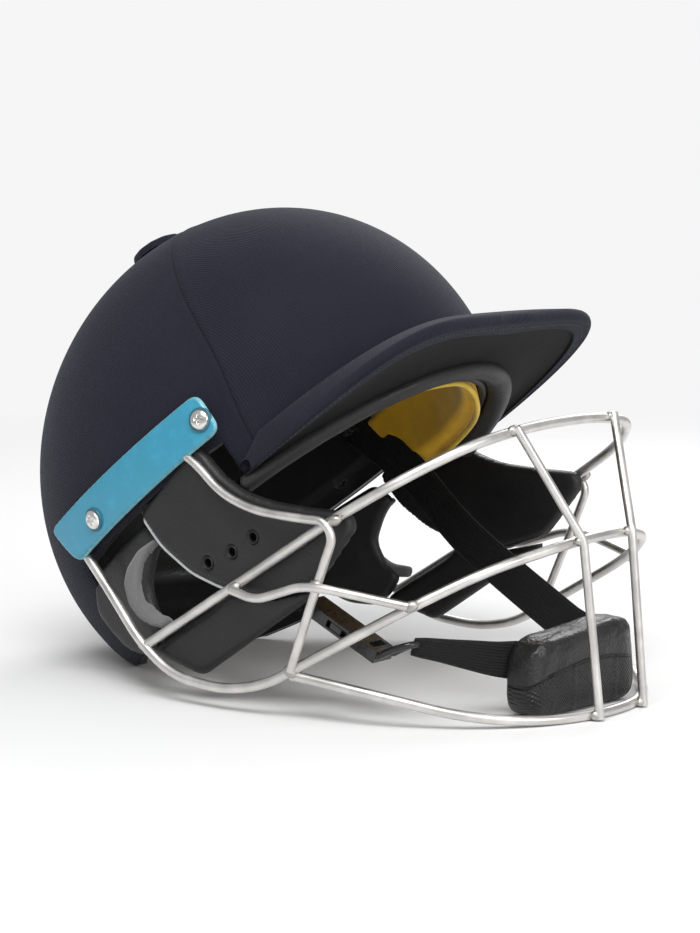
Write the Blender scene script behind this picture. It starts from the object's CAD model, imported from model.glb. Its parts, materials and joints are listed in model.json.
import json
import math
import bpy
import numpy as np
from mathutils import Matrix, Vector, noise

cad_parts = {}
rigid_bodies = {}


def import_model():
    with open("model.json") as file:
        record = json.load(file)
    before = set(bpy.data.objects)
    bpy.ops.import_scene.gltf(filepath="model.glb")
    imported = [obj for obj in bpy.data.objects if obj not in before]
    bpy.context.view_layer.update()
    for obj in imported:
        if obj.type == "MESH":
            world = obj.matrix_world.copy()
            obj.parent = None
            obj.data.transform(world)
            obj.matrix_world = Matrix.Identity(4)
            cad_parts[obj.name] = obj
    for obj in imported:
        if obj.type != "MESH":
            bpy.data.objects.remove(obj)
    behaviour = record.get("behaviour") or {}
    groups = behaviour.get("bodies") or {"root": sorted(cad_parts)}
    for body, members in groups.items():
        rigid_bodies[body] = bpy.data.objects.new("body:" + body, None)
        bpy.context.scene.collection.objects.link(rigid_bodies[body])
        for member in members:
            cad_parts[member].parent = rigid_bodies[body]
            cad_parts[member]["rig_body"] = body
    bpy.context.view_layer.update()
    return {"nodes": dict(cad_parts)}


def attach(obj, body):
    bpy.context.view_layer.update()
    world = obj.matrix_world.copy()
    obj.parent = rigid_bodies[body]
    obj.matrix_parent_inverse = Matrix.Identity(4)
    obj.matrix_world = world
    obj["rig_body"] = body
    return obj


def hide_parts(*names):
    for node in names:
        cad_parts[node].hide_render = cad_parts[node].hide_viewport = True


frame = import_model()
nodes = frame["nodes"]

# Looks of a cloth-covered wicket-keeping helmet. Lengths in the tables are millimetres in the part's
# design frame; SHIFT_Y then puts them in the row frame, as the part's own last step does.
MM = 0.001
SHIFT_Y = -9.05
CENTRE = np.array((0.0, 52.6, 108.9))
SEMI = np.array((105.0, 128.3, 138.8))
PITCH = math.radians(45.7)
CP, SP = math.cos(PITCH), math.sin(PITCH)


# ---- geometry helpers ---------------------------------------------------------------------------
def to_scene(points):
    out = np.array(points, float).reshape(-1, 3).copy()
    out[:, 1] += SHIFT_Y
    return out * MM


def make(name, points, faces, body="helmet", material=None):
    """Mesh object from millimetre points, riding on a body."""
    mesh = bpy.data.meshes.new(name)
    mesh.from_pydata([tuple(p) for p in to_scene(points)], [], [tuple(f) for f in faces])
    mesh.validate()
    mesh.update()
    mesh.polygons.foreach_set("use_smooth", [True] * len(mesh.polygons))
    obj = bpy.data.objects.new(name, mesh)
    bpy.context.scene.collection.objects.link(obj)
    if material is not None:
        for one in material if isinstance(material, (list, tuple)) else [material]:
            mesh.materials.append(one)
    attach(obj, body)
    return obj


def attribute(obj, name, values):
    """Store one number per vertex for the material to read."""
    layer = obj.data.attributes.new(name, "FLOAT", "POINT")
    layer.data.foreach_set("value", np.asarray(values, np.float32))


def declare(obj, slot, *stands_for, fill=None):
    """Name a piece's material slot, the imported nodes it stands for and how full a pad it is."""
    if stands_for:
        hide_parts(*stands_for)
    return obj


def unit(vector):
    return vector / np.linalg.norm(vector)


def upright_pair(out, hint):
    """Two unit directions square to a unit direction and to each other."""
    u = unit(np.cross(out, hint))
    return u, np.cross(out, u)


def joined(parts):
    """One list of points and one of faces from several closed bodies."""
    points, faces = [], []
    for some, more in parts:
        base = len(points)
        points.extend(some)
        faces.extend(tuple(base + q for q in f) for f in more)
    return points, faces


def dome_local(points):
    """Dome coordinates: across, along the low semi-axis and along the high one."""
    rel = np.asarray(points, float) - CENTRE
    return np.stack([rel[:, 0], CP * rel[:, 1] + SP * rel[:, 2], -SP * rel[:, 1] + CP * rel[:, 2]], 1)


def dome_world(local):
    return np.stack([
        local[:, 0], CP * local[:, 1] - SP * local[:, 2], SP * local[:, 1] + CP * local[:, 2]], 1) + CENTRE


def project(points, grow=0.0):
    """Points moved along rays from the centre on to the dome, grown by some millimetres."""
    local = dome_local(points)
    semi = SEMI + np.asarray(grow, float).reshape(-1, 1)
    level = np.sqrt(((local / semi) ** 2).sum(1, keepdims=True))
    return dome_world(local / level)


def dome_normal(points):
    local = dome_local(points) / SEMI ** 2
    world = dome_world(local) - CENTRE
    return world / np.linalg.norm(world, axis=1, keepdims=True)


def side_point(y, z, grow=0.0, side=-1):
    """Point of the grown dome at one (y, z), on the right (-1) or left (1) side."""
    y, z = np.atleast_1d(np.asarray(y, float)), np.atleast_1d(np.asarray(z, float))
    grow = np.broadcast_to(np.asarray(grow, float), y.shape)
    local = dome_local(np.stack([np.zeros_like(y), y, z], 1))
    rest = 1 - (local[:, 1] / (SEMI[1] + grow)) ** 2 - (local[:, 2] / (SEMI[2] + grow)) ** 2
    x = side * (SEMI[0] + grow) * np.sqrt(np.maximum(rest, 0.0004))
    return np.stack([x, y, z], 1)


def dome_front_y(x, height, slope, grow=0.0):
    """Front y of the dome where it meets the plane z = height - slope * y."""
    a, b, c = SEMI + grow
    y0, z0 = CENTRE[1], CENTRE[2]
    u1, u0 = CP - SP * slope, -CP * y0 + SP * (height - z0)
    v1, v0 = -SP - CP * slope, SP * y0 + CP * (height - z0)
    qa = (u1 / b) ** 2 + (v1 / c) ** 2
    qb = 2 * (u1 * u0 / b ** 2 + v1 * v0 / c ** 2)
    qc = (u0 / b) ** 2 + (v0 / c) ** 2 + (x / a) ** 2 - 1
    return (-qb - math.sqrt(max(qb * qb - 4 * qa * qc, 0.0))) / (2 * qa)


def rim_curve(grow, height, slope, reach, count):
    """Points along the brow on a plane, from the right temple to the left."""
    out = []
    widest = math.pi / 2 * 0.93
    for x in np.sin(np.linspace(-1.0, 1.0, count) * widest) / math.sin(widest) * reach:
        y = dome_front_y(x, height, slope, grow)
        out.append((x, y, height - slope * y))
    return np.array(out)


def signed_distance(flat, outline):
    """Distance from 2-D points to a closed outline, positive inside, with the nearest outline points."""
    flat, outline = np.asarray(flat, float), np.asarray(outline, float)
    best = np.full(len(flat), 1e9)
    near = np.zeros_like(flat)
    inside = np.zeros(len(flat), bool)
    for a, b in zip(outline, np.roll(outline, -1, 0)):
        d = b - a
        t = np.clip(((flat - a) @ d) / max(d @ d, 1e-12), 0, 1)
        foot = a + t[:, None] * d
        gap = np.linalg.norm(flat - foot, axis=1)
        closer = gap < best
        best[closer], near[closer] = gap[closer], foot[closer]
        if a[1] != b[1]:
            crosses = ((a[1] > flat[:, 1]) != (b[1] > flat[:, 1]))
            at = a[0] + (flat[:, 1] - a[1]) / (b[1] - a[1]) * d[0]
            inside ^= crosses & (flat[:, 0] < at)
    return np.where(inside, best, -best), near


def spline(points, step=2.0):
    """Smooth Catmull-Rom curve through points, resampled at an even step."""
    pts = np.asarray(points, float)
    ring = np.vstack([2 * pts[0] - pts[1], pts, 2 * pts[-1] - pts[-2]])
    dense = []
    for i in range(1, len(ring) - 2):
        p0, p1, p2, p3 = ring[i - 1:i + 3]
        for t in np.linspace(0, 1, 12, endpoint=False):
            dense.append(0.5 * (2 * p1 + (p2 - p0) * t + (2 * p0 - 5 * p1 + 4 * p2 - p3) * t * t
                                + (3 * p1 - p0 - 3 * p2 + p3) * t ** 3))
    dense = np.array(dense + [pts[-1]])
    run = np.concatenate([[0], np.cumsum(np.linalg.norm(np.diff(dense, axis=0), axis=1))])
    at = np.linspace(0, run[-1], max(int(round(run[-1] / step)), 3) + 1)
    return np.stack([np.interp(at, run, dense[:, k]) for k in range(dense.shape[1])], 1)


def rounded(outline, radius, steps=5):
    """Closed 2-D outline with its corners rounded."""
    pts = np.asarray(outline, float)
    out = []
    for before, here, after in zip(np.roll(pts, 1, 0), pts, np.roll(pts, -1, 0)):
        a, b = before - here, after - here
        la, lb = np.linalg.norm(a), np.linalg.norm(b)
        r = min(radius, 0.45 * la, 0.45 * lb)
        p, q = here + a / la * r, here + b / lb * r
        for t in np.linspace(0, 1, steps):
            out.append((1 - t) ** 2 * p + 2 * t * (1 - t) * here + t * t * q)
    return np.array(out)


def grid_faces(rows, cols, close_rows=False, close_cols=False):
    faces = []
    for i in range(rows if close_rows else rows - 1):
        for j in range(cols if close_cols else cols - 1):
            a, b = i * cols + j, i * cols + (j + 1) % cols
            c, d = ((i + 1) % rows) * cols + (j + 1) % cols, ((i + 1) % rows) * cols + j
            faces.append((a, b, c, d))
    return faces


def sweep(name, path, profile, body, material, normals=None):
    """Sweep a closed (side, up) profile, one for all or one per station, along a path of points."""
    count = len(path)
    ahead = np.roll(path, -1, 0) - np.roll(path, 1, 0)
    ahead[0], ahead[-1] = path[1] - path[0], path[-1] - path[-2]
    ahead /= np.linalg.norm(ahead, axis=1, keepdims=True)
    if normals is None:
        normals = np.zeros_like(path)
        last = np.array((0.0, 0.0, 1.0))
        for i in range(count):
            last = unit(last - (last @ ahead[i]) * ahead[i])
            normals[i] = last
    else:
        normals = normals - (normals * ahead).sum(1, keepdims=True) * ahead
        normals /= np.linalg.norm(normals, axis=1, keepdims=True)
    sides = np.cross(ahead, normals)
    profile = np.asarray(profile, float)
    if profile.ndim == 2:
        profile = np.broadcast_to(profile, (count,) + profile.shape)
    k = profile.shape[1]
    points = (path[:, None, :] + profile[:, :, 0:1] * sides[:, None, :]
              + profile[:, :, 1:2] * normals[:, None, :]).reshape(-1, 3)
    faces = grid_faces(count, k, close_cols=True)
    faces += [tuple(range(k))[::-1], tuple((count - 1) * k + j for j in range(k))]
    obj = make(name, points, faces, body, material)
    run = np.concatenate([[0], np.cumsum(np.linalg.norm(np.diff(path, axis=0), axis=1))])
    attribute(obj, "along", np.repeat(run, k))
    attribute(obj, "side", profile[:, :, 0].reshape(-1))
    return obj


def circle(radius, sides=14, squash=1.0):
    a = np.linspace(0, 2 * math.pi, sides, endpoint=False)
    return np.stack([radius * np.cos(a), radius * squash * np.sin(a)], 1)


def tube(name, points, radius, body, material, step=1.6, sides=14):
    """Round tube through points, with rounded ends."""
    path = spline(points, step)
    scale = np.ones(len(path))
    for i, s in ((0, 0.25), (1, 0.8)):
        scale[i] = scale[-1 - i] = s
    return sweep(name, path, circle(radius, sides)[None] * scale[:, None, None], body, material)


def patch(outline, spacing):
    """Flat mesh of a closed outline: points, quads and triangles, inside distance, rim flags."""
    outline = np.asarray(outline, float)
    low, high = outline.min(0) - spacing, outline.max(0) + spacing
    nu, nv = (np.ceil((high - low) / spacing).astype(int) + 1)
    uu, vv = np.meshgrid(low[0] + spacing * np.arange(nu), low[1] + spacing * np.arange(nv), indexing="ij")
    flat = np.stack([uu.ravel(), vv.ravel()], 1)
    dist, near = signed_distance(flat, outline)
    snap = np.abs(dist) < 0.5 * spacing
    keep = (dist > 0) | snap
    flat[snap] = near[snap]
    dist[snap] = 0.0
    faces = []
    for a, b, c, d in grid_faces(nu, nv):
        ring = [q for q in (a, b, c, d) if keep[q]]
        if len(ring) >= 3 and not all(snap[q] for q in ring):
            faces.append(ring)
    used = sorted({q for f in faces for q in f})
    index = {q: i for i, q in enumerate(used)}
    return flat[used], [[index[q] for q in f] for f in faces], np.maximum(dist[used], 0), snap[used]


def slab(name, outline, spacing, outer, inner, material):
    """Closed body over a flat outline. outer and inner map (flat points, inside distance) to 3-D points;
    the two skins share their rim."""
    flat, faces, dist, rim = patch(outline, spacing)
    top, bottom = outer(flat, dist), inner(flat, dist)
    points = [*top]
    twin = {}
    for i in range(len(flat)):
        if rim[i]:
            points[i] = (top[i] + bottom[i]) / 2
            twin[i] = i
        else:
            twin[i] = len(points)
            points.append(bottom[i])
    back = [[twin[q] for q in f][::-1] for f in faces]
    obj = make(name, points, faces + back, "helmet", material)
    spare = len(points) - len(flat)
    attribute(obj, "edge", np.concatenate([dist, np.full(spare, 50.0)]))
    return obj


def mirror_piece(obj, name):
    """The left twin of a right-hand piece."""
    mesh = obj.data.copy()
    co = np.zeros(len(mesh.vertices) * 3, np.float32)
    mesh.vertices.foreach_get("co", co)
    co = co.reshape(-1, 3)
    co[:, 0] *= -1
    mesh.vertices.foreach_set("co", co.ravel())
    mesh.flip_normals()
    mesh.update()
    twin = bpy.data.objects.new(name, mesh)
    bpy.context.scene.collection.objects.link(twin)
    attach(twin, obj["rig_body"])
    return twin


def pillow(dist, reach, power=0.5):
    """0 at the rim, 1 from some reach inwards, with a round shoulder."""
    t = np.clip(dist / reach, 0, 1)
    return (1 - (1 - t) ** 2) ** power


# ---- materials ----------------------------------------------------------------------------------
class Look:
    """A node material under construction, with short names for the nodes that recur."""

    def __init__(self, name, base, rough, **extra):
        self.material = bpy.data.materials.new(name)
        self.material.use_nodes = True
        self.tree = self.material.node_tree
        self.tree.nodes.clear()
        self.out = self.node("ShaderNodeOutputMaterial")
        self.bsdf = self.node("ShaderNodeBsdfPrincipled")
        self.link(self.bsdf.outputs[0], self.out.inputs["Surface"])
        self.bsdf.inputs["Base Color"].default_value = (*base, 1)
        self.bsdf.inputs["Roughness"].default_value = rough
        for key, value in extra.items():
            self.bsdf.inputs[key.replace("_", " ")].default_value = value
        self.normal = None
        self.coords = self.node("ShaderNodeTexCoord").outputs["Object"]

    def node(self, kind, **values):
        n = self.tree.nodes.new(kind)
        for key, value in values.items():
            setattr(n, key, value)
        return n

    def link(self, a, b):
        self.tree.links.new(a, b)

    def put(self, socket, value):
        if isinstance(value, (int, float, tuple)):
            socket.default_value = value
        else:
            self.link(value, socket)

    def math(self, operation, a, b=0.0, c=0.0):
        n = self.node("ShaderNodeMath", operation=operation)
        for socket, value in zip(n.inputs, (a, b, c)):
            self.put(socket, value)
        return n.outputs[0]

    def noise(self, size, detail=2.0, rough=0.5, stretch=None):
        """Noise whose blobs are about this many millimetres across."""
        where = self.coords
        if stretch:
            m = self.node("ShaderNodeMapping")
            self.link(where, m.inputs["Vector"])
            m.inputs["Scale"].default_value = stretch
            where = m.outputs[0]
        n = self.node("ShaderNodeTexNoise")
        self.link(where, n.inputs["Vector"])
        n.inputs["Scale"].default_value = 1000.0 / size
        n.inputs["Detail"].default_value = detail
        n.inputs["Roughness"].default_value = rough
        return n.outputs["Fac"]

    def cells(self, size, feature="F1"):
        n = self.node("ShaderNodeTexVoronoi", feature=feature)
        self.link(self.coords, n.inputs["Vector"])
        n.inputs["Scale"].default_value = 1000.0 / size
        return n.outputs["Distance"]

    def read(self, name):
        n = self.node("ShaderNodeAttribute", attribute_type="GEOMETRY", attribute_name=name)
        return n.outputs["Fac"]

    def wave(self, phase, pitch):
        return self.math("SINE", self.math("MULTIPLY", phase, 2 * math.pi / pitch))

    def between(self, value, low, high, to_low=0.0, to_high=1.0):
        n = self.node("ShaderNodeMapRange", interpolation_type="SMOOTHSTEP")
        for key, one in (("Value", value), ("From Min", low), ("From Max", high),
                         ("To Min", to_low), ("To Max", to_high)):
            self.put(n.inputs[key], one)
        return n.outputs["Result"]

    def mix(self, factor, a, b):
        n = self.node("ShaderNodeMix", data_type="RGBA")
        self.put(n.inputs["Factor"], factor)
        self.put(n.inputs["A"], (*a, 1) if isinstance(a, tuple) else a)
        self.put(n.inputs["B"], (*b, 1) if isinstance(b, tuple) else b)
        return n.outputs["Result"]

    def tint(self, colour):
        self.link(colour, self.bsdf.inputs["Base Color"])

    def rough(self, value):
        self.link(value, self.bsdf.inputs["Roughness"])

    def bump(self, height, depth, strength=1.0):
        """Add a bump whose full height is this many millimetres."""
        n = self.node("ShaderNodeBump")
        n.inputs["Strength"].default_value = strength
        n.inputs["Distance"].default_value = depth * MM
        self.link(height, n.inputs["Height"])
        if self.normal is not None:
            self.link(self.normal, n.inputs["Normal"])
        self.normal = n.outputs[0]
        self.link(self.normal, self.bsdf.inputs["Normal"])


def shade(colour, factor):
    return tuple(c * factor for c in colour)


NAVY = (0.0102, 0.0106, 0.0190)
YELLOW = (0.95, 0.53, 0.010)
TEAL = (0.030, 0.26, 0.39)


def cloth_look(name, dome):
    """Navy twill: fine ribs, flecked yarn, faint dust; on the dome the ribs turn at the seams."""
    look = Look(name, NAVY, 0.82, Sheen_Weight=0.13, Sheen_Roughness=0.42, Specular_IOR_Level=0.2)
    look.bsdf.inputs["Sheen Tint"].default_value = (0.46, 0.47, 0.56, 1)
    ribs = look.wave(look.read("twill_a"), 1.25)
    if dome:
        seam = look.read("seam")
        front = look.between(seam, -0.2, 0.2)
        side_ribs = look.wave(look.read("twill_b"), 1.35)
        picked = look.node("ShaderNodeMix", data_type="FLOAT")
        look.put(picked.inputs["Factor"], front)
        look.put(picked.inputs["A"], side_ribs)
        look.put(picked.inputs["B"], ribs)
        ribs = picked.outputs["Result"]
    fleck = look.noise(0.7, 3.0, 0.7)
    broad = look.noise(38, 3.0)
    height = look.math("ADD", look.math("MULTIPLY", ribs, 0.5), look.math("MULTIPLY", fleck, 1.1))
    light = look.math("ADD", look.math("MULTIPLY", ribs, 0.16), look.math("MULTIPLY", fleck, 0.9))
    light = look.math("ADD", light, look.math("MULTIPLY", broad, 0.35))
    tone = look.between(light, 0.15, 1.15)
    colour = look.mix(tone, shade(NAVY, 0.62), shade(NAVY, 1.55))
    if dome:
        away = look.math("ABSOLUTE", seam)
        groove = look.between(away, 0.0, 0.9, 1.0, 0.0)
        colour = look.mix(look.math("MULTIPLY", groove, 0.7), colour, shade(NAVY, 0.3))
        fold = look.between(away, 0.5, 5.0, 1.0, 0.0)
        look.bump(look.math("SUBTRACT", fold, look.math("MULTIPLY", groove, 1.3)), 0.45)
        hem = look.read("edge")
        stitch = look.between(look.math("ABSOLUTE", look.math("SUBTRACT", hem, 5.0)), 0.2, 0.7, 1.0, 0.0)
        look.bump(stitch, -0.25)
    look.tint(colour)
    look.bump(height, 0.16)
    look.bump(look.noise(55, 2.0), 1.3, 0.6)
    return look.material


def leather(name, base, rough, crinkle=0.0):
    """Soft leatherette: fine pebble grain, larger wrinkles, paler where it is rubbed."""
    look = Look(name, base, rough, Specular_IOR_Level=0.38, Coat_Weight=0.05)
    pebble = look.cells(1.25)
    fine = look.noise(0.9, 3.0, 0.6)
    broad = look.noise(24, 3.0)
    wear = look.math("ADD", look.math("MULTIPLY", fine, 0.6), look.math("MULTIPLY", broad, 0.7))
    tone = look.mix(look.between(wear, 0.35, 1.0), shade(base, 0.7), shade(base, 1.5))
    look.tint(tone)
    look.rough(look.between(look.math("ADD", fine, broad), 0.6, 1.5, rough - 0.09, rough + 0.12))
    if crinkle:
        look.bump(look.noise(9, 4.0, 0.62), crinkle)
        look.bump(look.cells(3.4, "DISTANCE_TO_EDGE"), crinkle * 0.35)
    look.bump(pebble, 0.12)
    look.bump(fine, 0.1)
    return look, tone


def leather_look(name, base, rough, crinkle=0.0):
    return leather(name, base, rough, crinkle)[0].material


def cup_look(name, base, rough):
    """Crinkled leather above the cup's seam, dull woven panels with sewn ribs below it."""
    look, tone = leather(name, base, rough, crinkle=0.9)
    seam, across = look.read("seam"), look.read("across")
    below = look.between(seam, -0.6, 0.2, 1.0, 0.0)
    groove = look.between(look.math("ABSOLUTE", seam), 0.2, 1.3, 1.0, 0.0)
    weave = look.math("MULTIPLY", look.wave(across, 2.2), look.wave(seam, 2.2))
    ribs = look.between(look.wave(across, 16.0), 0.72, 0.98)
    panel = look.math("MULTIPLY", below, look.math("ADD", look.math("MULTIPLY", weave, 0.5), ribs))
    dull = look.mix(look.math("MULTIPLY", below, 0.6), tone, shade(base, 0.55))
    look.tint(look.mix(groove, dull, shade(base, 0.2)))
    look.bump(groove, -1.2)
    look.bump(panel, 0.5)
    return look.material


def fabric_look(name, base, rough=0.9, pile=0.6, sheen=0.4, depth=0.25, contrast=0.5):
    """Brushed knit or velour: a soft nap with uneven tone."""
    look = Look(name, base, rough, Sheen_Weight=sheen, Sheen_Roughness=0.5, Specular_IOR_Level=0.2)
    nap = look.noise(pile, 3.0, 0.7)
    broad = look.noise(16, 3.0, 0.6)
    tone = look.math("ADD", look.math("MULTIPLY", nap, contrast), look.math("MULTIPLY", broad, 0.6))
    look.tint(look.mix(look.between(tone, 0.3, 0.95), shade(base, 0.72), shade(base, 1.22)))
    look.bump(nap, depth)
    look.bump(broad, 0.6, 0.5)
    return look.material


def webbing_look(name, base=(0.0045, 0.0045, 0.005)):
    """Woven strap: warp ribs along it, weft ticks across it."""
    look = Look(name, base, 0.66, Specular_IOR_Level=0.25, Sheen_Weight=0.05)
    warp = look.wave(look.read("side"), 1.5)
    weft = look.wave(look.read("along"), 1.1)
    weave = look.math("ADD", look.math("MULTIPLY", warp, 0.5), look.math("MULTIPLY", weft, 0.35))
    fuzz = look.noise(0.6, 3.0)
    tone = look.between(look.math("ADD", weave, fuzz), -0.4, 1.4)
    look.tint(look.mix(tone, shade(base, 0.5), shade(base, 2.0)))
    look.bump(weave, 0.22)
    look.bump(fuzz, 0.12)
    return look.material


def steel_look(name, base=(0.72, 0.705, 0.68), rough=0.38, brush=0.05):
    """Satin stainless wire: fine polish lines and faint handling marks."""
    look = Look(name, base, rough, Metallic=1.0)
    lines = look.noise(0.35, 2.0, 0.5, stretch=(1.0, 0.35, 1.0))
    smear = look.noise(14, 3.0)
    mix = look.math("ADD", look.math("MULTIPLY", lines, 0.5), smear)
    look.rough(look.between(mix, 0.4, 1.1, rough - 0.08, rough + 0.13))
    look.tint(look.mix(look.between(smear, 0.3, 0.75), shade(base, 0.84), shade(base, 1.08)))
    look.bump(lines, brush)
    return look.material


def plastic_look(name, base, rough, grain=0.06, size=0.8, coat=0.0, wear=1.35):
    """Moulded plastic: slight orange peel, uneven gloss, soft scuffs."""
    look = Look(name, base, rough, Coat_Weight=coat, Coat_Roughness=0.12)
    peel = look.noise(size, 2.0)
    scuff = look.noise(9, 5.0, 0.75)
    look.rough(look.between(scuff, 0.35, 0.75, rough - 0.06, rough + 0.1))
    look.tint(look.mix(look.between(scuff, 0.52, 0.75), base, shade(base, wear)))
    look.bump(peel, grain)
    return look.material


def strip_look():
    """Teal moulded strip with a pale rubbed bevel."""
    look = Look("teal_plastic", TEAL, 0.34, Coat_Weight=0.25, Coat_Roughness=0.2)
    rim = look.between(look.read("edge"), 0.0, 1.3, 1.0, 0.0)
    scuff = look.noise(11, 5.0, 0.7)
    body = look.mix(look.between(scuff, 0.45, 0.8), TEAL, shade(TEAL, 1.25))
    look.tint(look.mix(look.math("MULTIPLY", rim, 0.75), body, (0.30, 0.60, 0.64)))
    look.rough(look.between(scuff, 0.3, 0.7, 0.28, 0.42))
    look.bump(look.noise(0.9, 2.0), 0.05)
    return look.material


cloth = cloth_look("navy_twill", True)
peak_cloth = cloth_look("navy_twill_peak", False)
lining = fabric_look("charcoal_lining", (0.0065, 0.0065, 0.007), 0.9, 0.9, 0.03, 0.12, 0.35)
plate_leather = leather_look("plate_leatherette", (0.012, 0.012, 0.0125), 0.5)
roll_leather = leather_look("roll_leatherette", (0.020, 0.0195, 0.0195), 0.58, crinkle=0.35)
cup_leather = cup_look("cup_leather", (0.015, 0.0145, 0.0145), 0.36)
yellow_cloth = fabric_look("yellow_knit", YELLOW, 0.85, 0.7, 0.3, 0.22, 0.3)
yellow_piping = fabric_look("yellow_piping", (0.86, 0.58, 0.03), 0.8, 0.6, 0.3, 0.2, 0.3)
black_knit = fabric_look("black_knit", (0.012, 0.012, 0.013), 0.92, 0.8, 0.25)
velour = fabric_look("grey_velour", (0.12, 0.12, 0.123), 0.95, 0.9, 0.4, 0.5, 1.3)
foam_skin = fabric_look("foam_skin", (0.012, 0.012, 0.013), 0.8, 1.6, 0.1, 0.3)
webbing = webbing_look("black_webbing")
thread = fabric_look("dark_thread", (0.045, 0.046, 0.055), 0.8, 0.4, 0.3)
steel = steel_look("satin_wire")
bright = steel_look("screw_steel", (0.78, 0.77, 0.75), 0.2, 0.02)
bead = steel_look("weld_bead", (0.50, 0.48, 0.45), 0.4, 0.12)
washer_coat = plastic_look("dark_washer", (0.02, 0.11, 0.15), 0.4)
shell_plastic = plastic_look("shell_plastic", (0.018, 0.018, 0.020), 0.5)
buckle_plastic = plastic_look("buckle_acetal", (0.012, 0.012, 0.013), 0.27, 0.04, 0.9, 0.2, 1.8)
silver_edge = plastic_look("pale_edging", (0.42, 0.43, 0.44), 0.4)
strip_plastic = strip_look()
hole_black = plastic_look("eyelet_black", (0.004, 0.004, 0.004), 0.6)


# ---- dome cloth ---------------------------------------------------------------------------------
RIM = [(-140, 221.5), (-7, 115.1), (5, 131), (100, 59), (79, 13), (100, 1.5), (220, 0.0), (220, 320),
       (-140, 320)]
SEAM = spline([(-30, 96), (-20, 118), (-8, 136), (11, 166), (31, 187), (60, 211), (79, 223), (105, 236)], 2.0)


def dome_grid(grow, spacing, outline):
    """Quads over the dome inside a (y, z) outline, with its edge slid on to the outline."""
    rows = int(380 / spacing)
    cols = int(830 / spacing)
    lat = (np.linspace(-1, 1, rows) * math.pi / 2 * 0.995)[:, None] * np.ones(cols)
    lon = np.linspace(0, 2 * math.pi, cols, endpoint=False)[None] * np.ones((rows, 1))
    semi = SEMI + grow
    local = np.stack([semi[0] * np.sin(lat), semi[1] * np.cos(lat) * np.cos(lon),
                      semi[2] * np.cos(lat) * np.sin(lon)], -1).reshape(-1, 3)
    points = dome_world(local)
    dist, near = signed_distance(points[:, 1:], outline)
    snap = np.abs(dist) < 0.62 * spacing
    keep = (dist > 0) | snap
    for _ in range(3):
        gap, foot = signed_distance(points[snap][:, 1:], outline)
        move = np.zeros((snap.sum(), 3))
        move[:, 1:] = foot - points[snap][:, 1:]
        length = np.linalg.norm(move, axis=1, keepdims=True)
        unit = move / np.maximum(length, 1e-9)
        normal = dome_normal(points[snap])
        along = unit - (unit * normal).sum(1, keepdims=True) * normal
        size = np.maximum((along ** 2).sum(1, keepdims=True), 0.15)
        points[snap] = project(points[snap] + along * length / size, grow)
    dist[snap] = 0.0
    faces = []
    for a, b, c, d in grid_faces(rows, cols, close_cols=True):
        ring = [q for q in (a, b, c, d) if keep[q]]
        if len(ring) >= 3 and not all(snap[q] for q in ring):
            faces.append(ring)
    used = np.array(sorted({q for f in faces for q in f}))
    index = np.full(rows * cols, -1)
    index[used] = np.arange(len(used))
    faces = [[int(index[q]) for q in f][::-1] for f in faces]
    return points[used], faces, dist[used], lat.ravel()[used]


def cover():
    points, faces, dist, lat = dome_grid(0.0, 1.7, RIM)
    seam_line = np.vstack([SEAM, [(112, 400), (-300, 400), (-300, 60)]])
    seam_gap, _ = signed_distance(points[:, 1:], seam_line)
    normal = dome_normal(points)
    tilt = np.sqrt(np.maximum(1 - normal[:, 0] ** 2, 0.05))
    edge_gap = np.abs(seam_gap)
    lift = 0.35 * np.exp(-((edge_gap - 2.6) / 2.0) ** 2) - 0.55 * np.exp(-(edge_gap / 1.3) ** 2)
    lift -= 0.7 * np.exp(-(dist / 2.5) ** 2)
    points = points + normal * lift[:, None]
    obj = make("dome_cloth", points, faces, "helmet", cloth)
    attribute(obj, "seam", seam_gap)
    attribute(obj, "edge", dist / np.maximum(tilt, 0.4) + 0.0)
    attribute(obj, "twill_a", SEMI[0] * lat + 0.06 * points[:, 2])
    attribute(obj, "twill_b", 0.66 * points[:, 1] + 0.76 * points[:, 2] + 0.35 * np.abs(points[:, 0]))
    thick = obj.modifiers.new("thickness", "SOLIDIFY")
    thick.thickness = 0.0011
    thick.offset = -1
    declare(obj, "navy_cloth", "front_cover_panel", "right_cover_panel", "left_cover_panel")


cover()


def crown_button():
    """Cloth-covered button where the seams meet, with gathered tucks."""
    angle = math.radians(55)
    out = np.array((0, math.cos(angle), math.sin(angle)))
    spot = CENTRE + out * 133.4
    across = np.array((1.0, 0, 0))
    other = np.cross(out, across)
    rings, spokes = 14, 72
    points = []
    for i in range(rings + 1):
        t = i / rings
        for j in range(spokes):
            a = 2 * math.pi * j / spokes
            r = 15.0 * min(1.0, t * 1.12)
            h = 4.2 * math.sqrt(max(1 - (min(t, 0.999) ** 3.2), 0)) - (1.6 if t > 0.95 else 0)
            h -= 0.9 * math.exp(-(t / 0.12) ** 2)
            r *= 1 + 0.012 * math.cos(a * 12) * t
            points.append(spot + across * r * math.cos(a) + other * r * math.sin(a) + out * h)
    faces = grid_faces(rings + 1, spokes, close_cols=True)
    faces.append(tuple(range(spokes))[::-1])
    obj = make("crown_button_cloth", points, [f[::-1] for f in faces], "helmet", peak_cloth)
    attribute(obj, "twill_a", [p[0] * 0.7 + p[1] * 0.7 for p in points])
    declare(obj, "navy_cloth", "crown_button")


crown_button()


# ---- peak ---------------------------------------------------------------------------------------
def peak_edge(angle):
    side, ahead = math.sin(angle), max(math.cos(angle), 0.0)
    x = 100.0 * math.copysign(abs(side) ** 0.34, side)
    forward = 101.4 * ahead ** 0.6
    return np.array((x, -4.4 - forward, 109.1 + 0.704 * forward + 0.0006 * forward ** 2))


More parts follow.
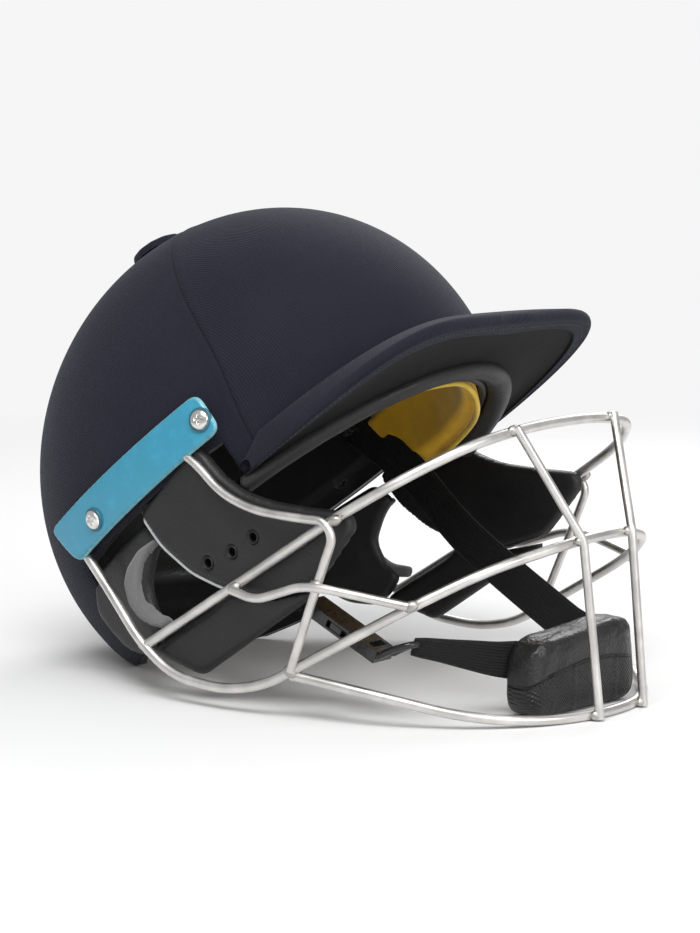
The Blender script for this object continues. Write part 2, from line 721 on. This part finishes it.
def peak_root(angle):
    """Where the top of the peak meets the dome: the crease, then down to the shell's front corner."""
    turn = abs(angle) / (math.pi / 2)
    x = 91.0 * min(turn / 0.9, 1.0) ** 0.8 if turn < 0.9 else 91.0
    y = dome_front_y(x, 125.6, 0.993)
    p = np.array((x, y, 125.6 - 0.993 * y))
    if turn >= 0.9:
        t = (turn - 0.9) / 0.1
        corner = side_point(-2.0, 113.6, 0.0, 1)[0]
        p = project((p * (1 - t) + corner * t)[None], 0.0)[0]
    p[0] = math.copysign(p[0], angle)
    return p


def peak():
    """Twill-covered peak: crowned top, rounded rim, charcoal lining under it."""
    stations = 181
    turns = np.linspace(-1, 1, stations)
    angles = np.sign(turns) * (np.abs(turns) ** 1.25) * math.pi / 2 * 0.985
    edges = np.array([peak_edge(a) for a in angles])
    run = np.concatenate([[0], np.cumsum(np.linalg.norm(np.diff(edges, axis=0), axis=1))])
    even = np.linspace(0, run[-1], 241)
    angles = np.interp(even, run, angles)
    rows = []
    top_steps, arc_steps, trim_steps, under_steps = 22, 9, 4, 14
    for k, a in enumerate(angles):
        low, root = peak_edge(a), peak_root(a)
        inward = root - low
        inward[2] = 0
        length = np.linalg.norm(inward)
        inward /= max(length, 1e-6)
        taper = min(1.0, length / 14.0)
        half = 3.5 * taper
        centre = low + np.array((0, 0, half)) + inward * 3.4 * taper
        top = centre + np.array((0, 0, half))
        start = root + (root - CENTRE) / np.linalg.norm(root - CENTRE) * -1.0
        row = []
        for i in range(top_steps):
            t = i / top_steps
            p = start * (1 - t) + top * t
            p = p + np.array((0, 0, 1)) * (2.2 * math.sin(math.pi * t) - 2.0 * math.exp(-t * 9)) * taper
            row.append(p)
        for i in range(arc_steps + 1):
            b = math.pi * i / arc_steps
            row.append(centre + np.array((0, 0, 1)) * half * math.cos(b) - inward * 3.4 * taper * math.sin(b))
        bottom = row[-1]
        rim_y = dome_front_y(min(abs(root[0]), 97.0), 104.5, 0.8, -1.0)
        home = np.array((math.copysign(min(abs(root[0]), 97.0), a), rim_y, 104.5 - 0.8 * rim_y))
        if length < 16:
            home = bottom + (home - bottom) * length / 16
        span = np.linalg.norm(home - bottom)
        trim = min(7.0, span * 0.4)
        for i in range(1, trim_steps + 1):
            row.append(bottom + (home - bottom) / max(span, 1e-6) * trim * i / trim_steps)
        ledge = row[-1] + np.array((0, 0, 0.9 * taper))
        for i in range(under_steps + 1):
            t = i / under_steps
            p = ledge * (1 - t) + home * t
            row.append(p + np.array((0, 0, 1)) * 2.5 * math.sin(math.pi * t) * taper)
        rows.append(row)
    points = np.array(rows)
    count, wide = points.shape[:2]
    steps = np.linalg.norm(np.diff(points, axis=1), axis=2)
    arc = np.concatenate([np.zeros((count, 1)), np.cumsum(steps, 1)], 1)
    phase = even[:, None] + 0.35 * arc
    faces = grid_faces(count, wide)
    obj = make("peak_cloth", points.reshape(-1, 3), faces, "helmet", [peak_cloth, lining])
    attribute(obj, "twill_a", phase.ravel())
    boundary = top_steps + arc_steps + trim_steps
    for polygon, face in zip(obj.data.polygons, faces):
        polygon.material_index = int(min(face) % wide >= boundary)
    declare(obj, "navy_cloth", "peak_cover", "peak_lining", "peak_board")
    line = points[:, top_steps + arc_steps + 1]
    stitches("peak_stitching", line[6:-6], 3.0, 0.36, np.array((0, 0, -1.0)))


def stitches(name, path, pitch, radius, out, fill=0.62):
    """A run of short thread stitches along a line, standing a little proud of it."""
    path = spline(path, 0.5)
    every = max(int(round(pitch / 0.5)), 2)
    long = max(int(every * fill), 2)
    sides = 6
    ring = circle(radius, sides)
    parts = []
    for start in range(0, len(path) - every, every):
        piece = path[start:start + long + 1]
        ahead = piece[-1] - piece[0]
        ahead /= max(np.linalg.norm(ahead), 1e-9)
        n = unit(out - (out @ ahead) * ahead)
        s = np.cross(ahead, n)
        points = []
        for i, p in enumerate(piece):
            swell = math.sin(math.pi * i / (len(piece) - 1))
            bow = radius * (0.9 * swell - 0.3)
            wide = 0.45 + 0.55 * swell
            points += [p + n * (bow + v * wide) + s * u * wide for u, v in ring]
        caps = [tuple(range(sides))[::-1], tuple((len(piece) - 1) * sides + q for q in range(sides))]
        parts.append((points, grid_faces(len(piece), sides, close_cols=True) + caps))
    return make(name, *joined(parts), "helmet", thread)


peak()


# ---- brow roll, binding and padding inside ------------------------------------------------------
def brow():
    """Leatherette roll along the brow, with the liner's binding inside it."""
    path = spline(rim_curve(0.0, 104.3, 0.8, 95, 40), 1.6)
    swell = np.array([1 + 0.035 * noise.noise(Vector(p) * 0.11) for p in path])
    ends = np.clip(np.minimum(np.arange(len(path)), np.arange(len(path))[::-1]) / 3.0, 0.2, 1)
    rings = circle(4.4, 22, 6.6 / 4.4)[None] * (swell * ends)[:, None, None]
    roll = sweep("brow_roll_leather", path, rings, "helmet", roll_leather, dome_normal(path))
    declare(roll, "black_leather", "brow_roll", fill=0.9)
    inner = spline(rim_curve(-9.0, 113.5, 0.70, 87, 30), 1.6)
    declare(tube("liner_binding_tape", inner, 2.2, "helmet", roll_leather), "black_leather", "liner_binding")


brow()


def lined_patch(name, outline, outer_grow, inner_grow, spacing, reach, material, ripple=0.0, limit=None,
                 hang=None):
    """Padding inside the dome: it lies on outer_grow and swells to inner_grow away from its edge."""
    points, faces, dist, _ = dome_grid(outer_grow, spacing, outline)
    if hang is not None:
        points = project(hang(points, dist), outer_grow)
    if limit is not None:
        keep = np.abs(points[:, 0]) < limit
        faces = [f for f in faces if all(keep[q] for q in f)]
        dist = np.minimum(dist, np.maximum(limit - np.abs(points[:, 0]), 0))
    puff = pillow(dist, reach)
    if ripple:
        puff = puff * (1 + ripple * np.array([noise.noise(Vector(p) * 0.045) for p in points]))
    inner = project(points, outer_grow + (inner_grow - outer_grow) * puff - 0.05)
    count = len(points)
    faces2 = [[q + count for q in f][::-1] for f in faces]
    edges = {}
    for f in faces:
        for a, b in zip(f, f[1:] + f[:1]):
            edges[(a, b)] = edges.get((a, b), 0) + 1
    rim = [(a, b) for (a, b) in edges if (b, a) not in edges]
    walls = [(b, a, a + count, b + count) for a, b in rim]
    obj = make(name, np.vstack([points, inner]), faces + faces2 + walls, "helmet", material)
    attribute(obj, "edge", np.concatenate([dist, dist]))
    return obj


LINER = [(-140, 229.5), (-2, 119.1), (10, 137), (106, 64), (86, 14), (220, 8), (220, 320), (-140, 320)]
BROW_PAD = [(-140, 208.6), (26, 102.4), (56, 133), (-140, 292)]
CROWN_PAD = [(17, 160), (107, 160), (107, 300), (17, 300)]
NAPE_PAD = [(110, 30), (240, 30), (240, 90), (110, 90)]


def sag(points, dist=0.0):
    """The brow pad hangs lower on the wearer's left, most at its bottom edge, and ends behind the shell's
    front corner on the right."""
    t = np.clip((points[:, 0] - 10) / 50, 0, 1)
    out = points.copy()
    out[:, 2] -= 9.0 * t * t * (3 - 2 * t) * np.exp(-(np.asarray(dist) / 25.0) ** 2)
    behind = np.clip((points[:, 1] + 28) / 18, 0, 1) * (points[:, 0] < 0)
    out[:, 2] += 26.0 * behind * behind * (3 - 2 * behind)
    return out


def inner_pads():
    """Foam liner, brow pad with its piping, crown pad and nape pad."""
    liner = lined_patch("foam_liner_skin", LINER, -5.2, -14.9, 3.2, 3.5, foam_skin)
    declare(liner, "black_foam", "foam_liner", fill=1.0)
    pad = lined_patch("brow_pad_knit", BROW_PAD, -12.0, -20.6, 1.8, 6.5, yellow_cloth, 0.12, hang=sag)
    declare(pad, "yellow_padding", "brow_pad", fill=0.7)
    rim_points = project(sag(rim_curve(-13.5, 116.5, 0.64, 83, 40)), -13.5)
    tube("brow_pad_piping", rim_points, 1.5, "helmet", yellow_piping, sides=12)
    crown = lined_patch("crown_pad_knit", CROWN_PAD, -15.1, -20.4, 3.0, 7.0, black_knit, 0.1, limit=35)
    declare(crown, "black_padding", "crown_pad", fill=0.6)
    nape = lined_patch("nape_pad_leather", NAPE_PAD, -15.1, -20.4, 3.0, 7.0, plate_leather, 0.1, limit=55)
    declare(nape, "black_leather", "nape_pad", fill=0.6)


inner_pads()


# ---- side strips and their screws ---------------------------------------------------------------
STRIP = rounded([(119.8, 77.1), (15.8, 155.0), (0.3, 137.7), (97.4, 62.1)], 7.0, 7)
STRIP_THICK = 2.7
SCREWS = [(80.6, 87.6), (13.4, 140.4)]


def strip_height(y, z):
    """How far the strip's face stands off the dome: it is straighter than the dome under it."""
    run = ((y - 58.3) * 0.795 - (z - 108.0) * 0.606) / 63.0
    return 4.4 + 5.0 * run ** 2


def strips():
    """Moulded side strips with a bevelled rim."""
    def outer(flat, dist):
        y, z = flat.T
        return side_point(y, z, strip_height(y, z) - 1.0 * (1 - pillow(dist, 1.5, 0.8)))

    def inner(flat, dist):
        y, z = flat.T
        return side_point(y, z, strip_height(y, z) - STRIP_THICK + 0.4 * (1 - pillow(dist, 1.0)))
    right = slab("right_strip_moulding", STRIP, 0.9, outer, inner, strip_plastic)
    left = mirror_piece(right, "left_strip_moulding")
    declare(right, "teal_plastic", "right_strip")
    declare(left, "teal_plastic", "left_strip")


def screw_places():
    """Each screw's point on the dome, its outward direction and the height of the strip's face there."""
    for side in (-1, 1):
        for y, z in SCREWS:
            spot = side_point(y, z, 0.0, side)[0]
            yield spot, dome_normal(spot[None])[0], strip_height(y, z)


def screw_heads():
    """Domed heads with a cross recess."""
    rings, spokes = 22, 56
    head_r, head_high, washer_high = 4.95, 2.1, 1.0
    arm_long, arm_wide, recess = 2.3, 0.55, 1.1
    parts = []
    for spot, out, face in screw_places():
        u, v = upright_pair(out, (0.3, 0.2, 1.0))
        points = []
        for t in np.arange(rings + 1) / rings * 1.06:
            r = head_r * min(t, 1.0)
            for a in 2 * math.pi * np.arange(spokes) / spokes:
                px, py = r * math.cos(a), r * math.sin(a)
                h = head_high * math.sqrt(max(1 - (r / 5.02) ** 2.4, 0.0)) if t < 1 else -0.3
                arm = min(max(abs(px) - arm_long, abs(py) - arm_wide),
                          max(abs(py) - arm_long, abs(px) - arm_wide))
                h -= recess / (1 + math.exp(arm * 9))
                points.append(spot + out * (face + washer_high + h) + u * px + v * py)
        faces = grid_faces(rings + 1, spokes, close_cols=True) + [tuple(range(spokes))[::-1]]
        parts.append((points, [f[::-1] for f in faces]))
    declare(make("strip_screw_heads", *joined(parts), "helmet", bright), "steel_screw", "strip_screws")


def washer_rings():
    """Dark rounded washers under the screw heads: (radius, height over the strip's face)."""
    profile = [(4.4, -0.1), (4.6, 0.9), (5.4, 1.05), (6.1, 0.8), (6.25, -0.1)]
    spokes = 48
    parts = []
    for spot, out, face in screw_places():
        u, v = upright_pair(out, (0, 0, 1.0))
        points = [spot + out * (face + h) + (u * math.cos(a) + v * math.sin(a)) * r
                  for a in 2 * math.pi * np.arange(spokes) / spokes for r, h in profile]
        parts.append((points, grid_faces(spokes, len(profile), close_rows=True)))
    declare(make("strip_washer_rings", *joined(parts), "helmet", washer_coat), "dark_washer", "strip_washers")


strips()
screw_heads()
washer_rings()


# ---- ear guards: outlines as (y, z) -------------------------------------------------------------
SIDE_X = 104.6
PLATE = [(54, 91.5), (40, 76.5), (20, 64.5), (-1, 58.5), (-30, 57), (-58, 67), (-80, 95), (-77, 103),
         (-50, 103.3), (-30, 104.6), (-12, 108.3), (2, 116), (12, 125.5), (20, 131), (32, 116)]
PLATE_HOLES = [(8.7, 71.0), (-6.6, 77.9), (-19.9, 86.4)]
LOWER = [(-60, 64), (-30, 56.6), (-1, 58), (6, 50), (36, 31), (49, 22), (15, 13.2)]
REAR = [(104, 52), (101, 34), (86, 24.5), (72, 18.5), (55, 18), (46, 25), (40, 36), (50, 44), (55, 55),
        (50, 70), (44, 79), (56, 87), (80, 72)]
VELOUR = [(46, 80), (60, 73), (70, 63), (73.5, 54), (69, 43), (59, 36.5), (47, 34.5), (35, 35), (34, 41),
          (46, 42.2), (54, 47.5), (57, 55), (55, 64), (50.5, 71.5), (44, 78)]
LEAN = math.radians(-15)
LEAN_Y = 44.0


def lean(points):
    """Rear pads turn in towards the shell about an upright line at their front edge."""
    out = points.copy()
    dx, dy = points[:, 0] + SIDE_X, points[:, 1] - LEAN_Y
    out[:, 0] = -SIDE_X + dx * math.cos(LEAN) - dy * math.sin(LEAN)
    out[:, 1] = LEAN_Y + dx * math.sin(LEAN) + dy * math.cos(LEAN)
    return out


def side_pad(name, outline, low, high, reach, material, spacing=1.3, turned=False, smooth=6.0, holes=()):
    """Padded panel standing at the side of the head, between two distances from the outer face."""
    middle, half = (low + high) / 2, (high - low) / 2

    def skin(flat, x):
        points = np.stack([-SIDE_X + middle + x, flat[:, 0], flat[:, 1]], 1)
        return lean(points) if turned else points

    def outer(flat, dist):
        lift = pillow(dist, reach) * half
        for y, z in holes:
            gap = np.hypot(flat[:, 0] - y, flat[:, 1] - z)
            lift = lift - 4.5 * np.exp(-(gap / 3.0) ** 6)
        return skin(flat, -lift)

    def inner(flat, dist):
        return skin(flat, pillow(dist, reach) * half)
    return slab(name, rounded(outline, smooth), spacing, outer, inner, material)


def eyelets(name):
    """Dark sunk eyelets of the plate's vent holes: (radius, depth), the last one closing the bottom."""
    profile = [(3.5, 0.9), (3.2, -0.1), (2.6, -0.1), (2.2, 0.8), (2.1, 3.5)]
    spokes, steps = 32, len(profile)
    parts = []
    for y, z in PLATE_HOLES:
        points = [(-SIDE_X + h, y + r * math.cos(a), z + r * math.sin(a))
                  for a in 2 * math.pi * np.arange(spokes) / spokes for r, h in profile]
        floor_face = tuple(j * steps + steps - 1 for j in range(spokes))
        parts.append((points, grid_faces(spokes, steps, close_rows=True) + [floor_face]))
    return make(name, *joined(parts), "helmet", hole_black)


def ear_guards():
    """Plate, lower pad, rear pad, velour and trim on the right, then their left twins."""
    plate = side_pad("right_ear_plate_leather", PLATE, 0.0, 7.6, 3.2, plate_leather, holes=PLATE_HOLES)
    lower = side_pad("right_lower_pad_leather", LOWER, 0.6, 8.2, 4.5, plate_leather, smooth=5)
    rear = side_pad("right_rear_pad_leather", REAR, 1.4, 9.0, 4.5, plate_leather, turned=True, smooth=5)
    soft = side_pad("right_velour_crescent", VELOUR, 0.0, 6.5, 3.0, velour, 0.9, True, 3)
    eyes = eyelets("right_plate_eyelets")
    lip = rounded(PLATE, 6.0)
    stretch = lip[(lip[:, 1] < 91) & (lip[:, 0] > -50)]
    stretch = stretch[np.argsort(-stretch[:, 0])]
    line = np.stack([np.full(len(stretch), -SIDE_X + 1.6), stretch[:, 0], stretch[:, 1] + 0.4], 1)
    silver = tube("right_plate_edging", line, 0.95, "helmet", silver_edge, sides=10)
    inset = line + np.array((-1.4, 0, 3.4))
    sewn = stitches("right_plate_stitching", inset, 2.6, 0.26, np.array((-1.0, 0, 0)))
    nodes_of = {plate: ("black_leather", "ear_plate"), lower: ("black_leather", "lower_ear_pad"),
                rear: ("black_leather", "rear_ear_pad"), soft: ("grey_velour", "ear_velour")}
    for obj in (plate, lower, rear, soft, eyes, silver, sewn):
        twin = mirror_piece(obj, obj.name.replace("right_", "left_"))
        if obj in nodes_of:
            slot, node = nodes_of[obj]
            declare(obj, slot, f"right_{node}", fill=0.8)
            declare(twin, slot, f"left_{node}", fill=0.8)


ear_guards()


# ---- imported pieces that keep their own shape, and the guard's welds -----------------------------
CARRIED = {
    steel: ("upper_bar", "lower_bar", "chin_bar", "left_side_wire", "right_side_wire", "left_cross_wire",
            "right_cross_wire", "left_upright", "right_upright"),
    shell_plastic: ("outer_shell",),
    bright: ("strip_nuts", "strap_anchors"),
    buckle_plastic: ("buckle_socket", "buckle_plug", "left_prong", "right_prong")}
for look, names in CARRIED.items():
    for node in names:
        nodes[node].data.materials.clear()
        nodes[node].data.materials.append(look)


def welds():
    """Small fused beads where wires cross, as places and long axes on the right side."""
    spots = [
        ((-110.6, -74.5, 99.8), (0, -1, 0.3)), ((-114.2, -66.5, 68.6), (0, 1, 0.2)),
        ((-109.4, -46.6, 24), (0, 1, 0.5)), ((-99.4, -110.8, 60.9), (0.3, -1, 0.5)),
        ((-44.3, -131.2, 140.2), (1, -0.2, 0.2)), ((-22.3, -155.2, 86.8), (1, 0, 0)),
        ((-20.6, -164.6, 2.8), (1, -0.3, 0)), ((-110, -12.8, 61.4), (0, -1, 0.6)),
        ((-108.2, 47.6, 26.4), (0, 1, 0.6))]
    half_long, half_wide, rings, spokes = 3.9, 2.75, 10, 16
    parts = []
    for side in (1, -1):
        for (x, y, z), along in spots:
            d = unit(np.array(along, float) * (side, 1, 1))
            n, s = upright_pair(d, (0.3, 0.5, 0.81))
            points = []
            for lat in math.pi * np.arange(rings + 1) / rings:
                for lon in 2 * math.pi * np.arange(spokes) / spokes:
                    v = (d * math.cos(lat) * half_long + n * math.sin(lat) * math.cos(lon) * half_wide
                         + s * math.sin(lat) * math.sin(lon) * half_wide)
                    wobble = 1 + 0.1 * noise.noise(Vector(v) * 0.7 + Vector((x, y, z)))
                    points.append(np.array((side * x, y, z)) + v * wobble)
            parts.append((points, [f[::-1] for f in grid_faces(rings + 1, spokes, close_cols=True)]))
    make("guard_weld_beads", *joined(parts), "helmet", bead)


welds()


# ---- chin strap, cup and buckle -----------------------------------------------------------------
WEB_THICK = 1.6


def ribbon(name, node, points, wide_dirs, width, start=1.0):
    """Flat webbing along a curve; wide_dirs gives the width direction at each given point. A start under 1
    gathers the first end."""
    path = spline(points)
    dirs = spline(np.array(wide_dirs, float) * 100 + np.arange(len(points))[:, None] * 1e-3)
    at = np.linspace(0, len(dirs) - 1, len(path)).round().astype(int)
    wide = dirs[at] / np.linalg.norm(dirs[at], axis=1, keepdims=True)
    ahead = np.gradient(path, axis=0)
    ahead /= np.linalg.norm(ahead, axis=1, keepdims=True)
    half = width / 2
    across = np.linspace(-half, half, 13)
    edge = np.where(np.abs(across) < half - 0.6, 1.0, 0.45) * WEB_THICK / 2
    profile = np.vstack([np.stack([across, edge], 1), np.stack([across[::-1], -edge[::-1]], 1)])
    gather = np.linspace(0, 1, len(path)) ** 0.8 * (1 - start) + start
    rings = profile[None] * np.stack([gather, 2 - gather], 1)[:, None]
    obj = sweep(name, path, rings, "chin_strap", webbing, np.cross(wide, ahead))
    declare(obj, "black_webbing", node)


def straps():
    """Left webbing to the cup, right webbing to the buckle, and the short one from the buckle to the cup."""
    ribbon("left_strap_webbing", "left_strap",
           [(87, 62, 120), (80, 18.7, 99), (62, -32.6, 67.8), (40, -104, 36), (33, -122, 30)],
           [(0, -0.41, 0.91)] * 5, 22)
    ribbon("right_strap_webbing", "right_strap", [(-85, 67, 124), (-83, 20, 92), (-80, -34, 53)],
           [(0, -0.56, 0.83)] * 3, 14)
    ribbon("cup_strap_webbing", "cup_strap",
           [(-77, -96, 37), (-68, -103.5, 35), (-56, -111, 32), (-42, -119.5, 28.5), (-30, -125, 26.5)],
           [(0.5, -0.75, 0.4), (0.3, -0.55, 0.75), (0.1, -0.2, 0.95), (0, 0.1, 1), (0, 0.1, 1)], 19, 0.5)
    bail = [(-84, -79, 30.5), (-84.5, -89, 35.5), (-82, -96.5, 38.2), (-77, -98.5, 38.4), (-72.5, -96.5, 38),
            (-71.5, -89, 35.5), (-72, -79, 30.5)]
    tube("buckle_hook", bail, 1.7, "buckle_plug", buckle_plastic, step=1.0)


straps()

CUP_CENTRE = np.array((-0.5, -137.0, 20.5))
CUP_TURN = math.radians(-7.0)
CUP_HALF = (41.0, 11.0, 20.0)


def signed_power(value, power):
    return math.copysign(abs(value) ** power, value)


def cup():
    """Stuffed chin cup: crinkled leather over a padded front, sewn to panels below a seam."""
    rows, cols = 60, 120
    wide, deep, tall = CUP_HALF
    c, s = math.cos(CUP_TURN), math.sin(CUP_TURN)
    points, seam_gap = [], []
    for lat in -math.pi / 2 + math.pi * np.arange(rows + 1) / rows:
        for lon in 2 * math.pi * np.arange(cols) / cols:
            x = wide * signed_power(math.cos(lat), 0.22) * signed_power(math.cos(lon), 0.3)
            y = deep * signed_power(math.cos(lat), 0.3) * signed_power(math.sin(lon), 0.45)
            z = tall * signed_power(math.sin(lat), 0.4)
            x *= 1 - 0.10 * max(z, 0) / tall
            z += 3.5 * max(z, 0) / tall * (x / wide)
            gap = z - (4.5 - 0.004 * x * x + 0.06 * x)
            pinch = math.exp(-(gap / 1.6) ** 2)
            crinkle = (noise.noise(Vector((x, y * 1.5, z)) * 0.09) * 0.8
                       + noise.noise(Vector((x, y, z)) * 0.3) * 0.35)
            n = unit(np.array((x / 36.5 ** 2, y / 10.6 ** 2, z / 18.6 ** 2)))
            v = np.array((x, y * (1 - 0.12 * pinch), z)) + n * crinkle * (1 if gap > 0 else 0.4)
            points.append(CUP_CENTRE + np.array((v[0] * c - v[1] * s, v[0] * s + v[1] * c, v[2])))
            seam_gap.append(gap)
    faces = grid_faces(rows + 1, cols, close_cols=True)
    obj = make("chin_cup_leather", points, faces, "chin_strap", cup_leather)
    attribute(obj, "seam", seam_gap)
    attribute(obj, "across", [p[0] for p in points])
    declare(obj, "black_leather", "chin_cup", fill=0.8)


cup()


# ---- stage, light and camera, in metres ---------------------------------------------------------
FLOOR_HALF = 6.0
FLOOR_FADE = (0.5, 1.6)
WORLD_ON_PIECES, WORLD_SEEN = 0.50, 0.92
LENS_MM, SENSOR_MM = 100.3, 36.0
AZIMUTH, ELEVATION = math.radians(-53.03), math.radians(6.62)
EYE = (-1.0729, -0.81702, 0.2657)


def stage():
    """Pale floor that fades out into the background."""
    mesh = bpy.data.meshes.new("floor")
    corners = [(x * FLOOR_HALF, y * FLOOR_HALF, 0) for x, y in ((-1, -1), (1, -1), (1, 1), (-1, 1))]
    mesh.from_pydata(corners, [], [(0, 1, 2, 3)])
    floor = bpy.data.objects.new("floor", mesh)
    bpy.context.scene.collection.objects.link(floor)
    look = Look("floor_paper", (0.80, 0.80, 0.80), 0.95)
    look.bump(look.noise(2.0, 2.0), 0.02)
    reach = look.node("ShaderNodeVectorMath", operation="LENGTH")
    look.link(look.coords, reach.inputs[0])
    look.link(look.between(reach.outputs["Value"], *FLOOR_FADE, 1.0, 0.0), look.bsdf.inputs["Alpha"])
    mesh.materials.append(look.material)


def studio():
    """White world, brighter to the camera than to the pieces, so that dark cloth keeps its contrast."""
    world = bpy.data.worlds.new("studio")
    bpy.context.scene.world = world
    world.use_nodes = True
    tree = world.node_tree
    sky = tree.nodes["Background"]
    sky.inputs[0].default_value = (1.0, 1.0, 1.0, 1)
    seen = tree.nodes.new("ShaderNodeLightPath")
    level = tree.nodes.new("ShaderNodeMapRange")
    level.inputs["To Min"].default_value = WORLD_ON_PIECES
    level.inputs["To Max"].default_value = WORLD_SEEN
    tree.links.new(seen.outputs["Is Camera Ray"], level.inputs["Value"])
    tree.links.new(level.outputs["Result"], sky.inputs[1])
    bpy.context.scene.view_settings.view_transform = "Standard"


def area_light(name, spot, aim, size, power):
    light = bpy.data.lights.new(name, "AREA")
    light.shape = "RECTANGLE"
    light.size, light.size_y = size
    light.energy = power
    obj = bpy.data.objects.new(name, light)
    obj.location = spot
    obj.rotation_euler = (Vector(aim) - Vector(spot)).to_track_quat("-Z", "Y").to_euler()
    bpy.context.scene.collection.objects.link(obj)


def camera():
    """The photo's viewpoint."""
    lens = bpy.data.cameras.new("camera")
    lens.lens = LENS_MM
    lens.sensor_width = SENSOR_MM
    lens.clip_start = 0.05
    eye = bpy.data.objects.new("camera", lens)
    back = Vector((math.sin(AZIMUTH) * math.cos(ELEVATION), -math.cos(AZIMUTH) * math.cos(ELEVATION),
                   math.sin(ELEVATION)))
    eye.location = EYE
    eye.rotation_euler = (-back).to_track_quat("-Z", "Y").to_euler()
    bpy.context.scene.collection.objects.link(eye)
    bpy.context.scene.camera = eye


stage()
studio()
area_light("key", (-0.9, -0.5, 1.5), (0, 0, 0.12), (1.0, 0.8), 24)
area_light("front", (-0.3, -1.6, 0.7), (0, -0.05, 0.1), (0.9, 0.7), 9)
area_light("fill", (1.2, 0.4, 1.0), (0, 0, 0.1), (0.8, 0.8), 11)
camera()
